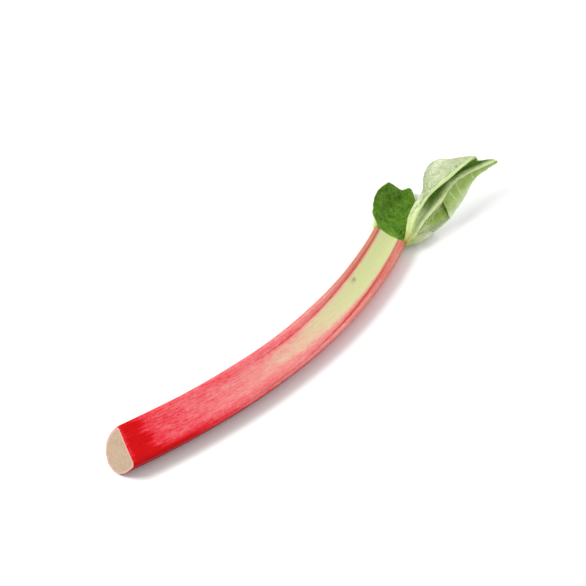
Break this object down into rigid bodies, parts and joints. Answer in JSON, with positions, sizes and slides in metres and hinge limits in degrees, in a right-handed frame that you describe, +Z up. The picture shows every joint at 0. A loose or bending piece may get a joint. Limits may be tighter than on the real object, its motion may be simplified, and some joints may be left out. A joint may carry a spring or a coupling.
{
  "type": "rhubarb stalk",
  "caption": "Fleshy red rhubarb leaf stalk with a slanting cut end and the trimmed, folded stump of its leaf, lying on its rounded back.",
  "frame": {"origin": "middle of the bounding box, on the surface that the stalk lies on", "axes": "+Z up; +X along the stalk from its cut end to its leaf; +Y towards the inside of the stalk's sideways bend"},
  "size_m": [0.4718, 0.078, 0.0549],
  "materials": {
    "stalk_skin": "satin, wet-looking red skin that fades to cream green along the face",
    "leaf_green": "matte leaf green, paler grey green on the underside, pale ribs"
  },
  "bodies": {
    "root": {"stalk": "stalk_skin", "leaf": "leaf_green"}
  },
  "joints": []
}
